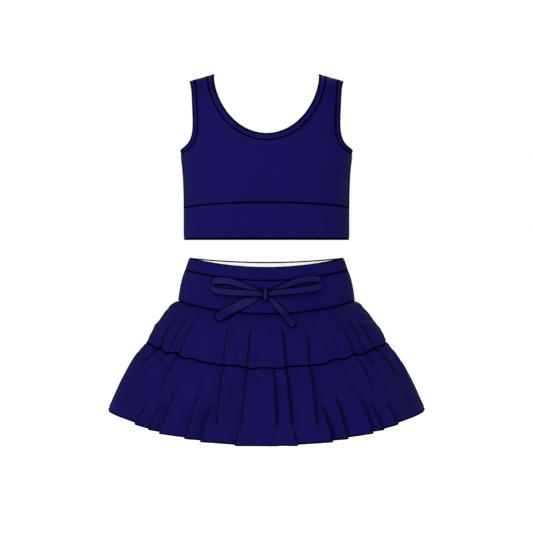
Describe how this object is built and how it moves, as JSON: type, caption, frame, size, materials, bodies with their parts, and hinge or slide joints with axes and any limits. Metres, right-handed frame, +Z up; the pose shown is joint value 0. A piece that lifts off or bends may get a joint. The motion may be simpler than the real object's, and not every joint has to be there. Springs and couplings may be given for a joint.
{
  "type": "cheer uniform",
  "caption": "Two-piece cheer uniform: a sleeveless scoop-neck crop top with bound edges, and a flared skirt with a fitted yoke, gathered tiers and a ribbon bow.",
  "frame": {"origin": "middle of the footprint, on the level the skirt's hem stands on", "axes": "+Z up, -Y the front of the uniform, +X the wearer's left"},
  "size_m": [0.5206, 0.3694, 0.5895],
  "materials": {
    "knit": "matte",
    "binding": "matte",
    "skirt_cloth": "matte",
    "ribbon": "satin",
    "elastic": "matte",
    "label": "satin"
  },
  "bodies": {
    "skirt": {"waistband_front": "knit", "waistband_back": "knit", "waistband_elastic": "elastic", "yoke_front": "knit", "yoke_back": "knit", "bow_knot": "ribbon"},
    "upper_tier": {"upper_tier_front": "skirt_cloth", "upper_tier_back": "skirt_cloth"},
    "lower_tier": {"lower_tier_front": "skirt_cloth", "lower_tier_back": "skirt_cloth"},
    "top": {"top_front_panel": "knit", "top_back_panel": "knit", "neck_binding": "binding", "armhole_binding_left": "binding", "armhole_binding_right": "binding", "underband_front": "knit", "underband_back": "knit", "underband_elastic": "elastic"},
    "neck_label": {"neck_label": "label"},
    "care_label": {"care_label": "label"},
    "bow_loop_left": {"bow_loop_left": "ribbon"},
    "bow_loop_right": {"bow_loop_right": "ribbon"},
    "bow_tail_left": {"bow_tail_left": "ribbon"},
    "bow_tail_right": {"bow_tail_right": "ribbon"}
  },
  "joints": [
    {"name": "top_lift", "type": "slide", "parent": "skirt", "child": "top", "axis": [0, 0, 1], "range_m": [0, 0.3]},
    {"name": "upper_tier_turn", "type": "hinge", "parent": "skirt", "child": "upper_tier", "pos_m": [0, 0, 0.217], "axis": [0, 0, 1], "range_deg": [-5, 5]},
    {"name": "lower_tier_turn", "type": "hinge", "parent": "upper_tier", "child": "lower_tier", "pos_m": [0, 0, 0.1484], "axis": [0, 0, 1], "range_deg": [-5, 5]},
    {"name": "bow_loop_left_flap", "type": "hinge", "parent": "skirt", "child": "bow_loop_left", "pos_m": [0.0042, -0.0967, 0.229], "axis": [0, -0.2213, -0.9752], "range_deg": [0, 40]},
    {"name": "bow_loop_right_flap", "type": "hinge", "parent": "skirt", "child": "bow_loop_right", "pos_m": [-0.0082, -0.0966, 0.229], "axis": [0, 0.2213, 0.9752], "range_deg": [0, 40]},
    {"name": "bow_tail_left_flap", "type": "hinge", "parent": "skirt", "child": "bow_tail_left", "pos_m": [0.0032, -0.0971, 0.2173], "axis": [-0.6691, 0, -0.7431], "range_deg": [0, 60]},
    {"name": "bow_tail_right_flap", "type": "hinge", "parent": "skirt", "child": "bow_tail_right", "pos_m": [-0.0072, -0.0971, 0.2173], "axis": [-0.3162, 0, 0.9487], "range_deg": [0, 60]},
    {"name": "neck_label_fold", "type": "hinge", "parent": "top", "child": "neck_label", "pos_m": [0, 0.0865, 0.465], "axis": [-1, 0, 0], "range_deg": [0, 80]},
    {"name": "care_label_fold", "type": "hinge", "parent": "skirt", "child": "care_label", "pos_m": [0, 0.0844, 0.2576], "axis": [-1, 0, 0], "range_deg": [0, 80]}
  ],
  "couplings": [
    {"joint": "lower_tier_turn", "follows": "upper_tier_turn", "ratio": 1}
  ]
}
